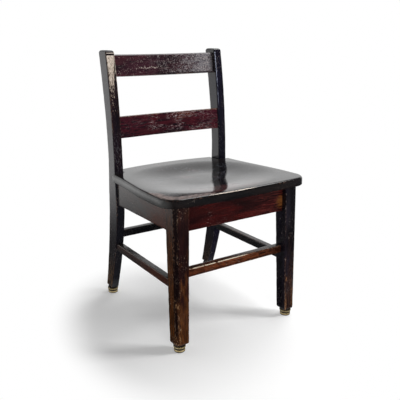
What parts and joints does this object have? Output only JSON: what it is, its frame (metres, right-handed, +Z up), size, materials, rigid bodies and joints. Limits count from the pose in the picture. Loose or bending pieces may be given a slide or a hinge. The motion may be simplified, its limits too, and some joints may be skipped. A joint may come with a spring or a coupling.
{
  "type": "wooden side chair",
  "caption": "Worn dark-varnished wooden side chair with a dished seat, a slatted bent back, square tapered legs joined by stretchers, and brass foot glides.",
  "frame": {"origin": "on the floor, in the middle of the chair's width and depth", "axes": "+Z up; the chair faces -Y; +X to the right of someone who looks at its front"},
  "size_m": [0.4946, 0.4909, 0.8165],
  "materials": {
    "leg_wood": "worn glossy varnish",
    "rail_wood": "worn glossy varnish",
    "seat_wood": "glossy varnish, worn on the front edge",
    "block_wood": "bare",
    "brass": "tarnished",
    "steel": "dull"
  },
  "bodies": {
    "root": {"back_apron": "rail_wood", "back_post_left": "leg_wood", "back_post_right": "leg_wood", "back_stretcher": "rail_wood", "corner_block_back_left": "block_wood", "corner_block_back_right": "block_wood", "corner_block_front_left": "block_wood", "corner_block_front_right": "block_wood", "front_apron": "rail_wood", "front_leg_left": "leg_wood", "front_leg_right": "leg_wood", "front_stretcher": "rail_wood", "glide_base_back_left": "brass", "glide_base_back_right": "brass", "glide_base_front_left": "brass", "glide_base_front_right": "brass", "glide_cup_back_left": "brass", "glide_cup_back_right": "brass", "glide_cup_front_left": "brass", "glide_cup_front_right": "brass", "lower_slat": "rail_wood", "seat": "seat_wood", "seat_screw_back_left": "steel", "seat_screw_back_right": "steel", "seat_screw_front_left": "steel", "seat_screw_front_right": "steel", "side_apron_left": "rail_wood", "side_apron_right": "rail_wood", "side_stretcher_left": "rail_wood", "side_stretcher_right": "rail_wood", "top_slat": "rail_wood"}
  },
  "joints": []
}
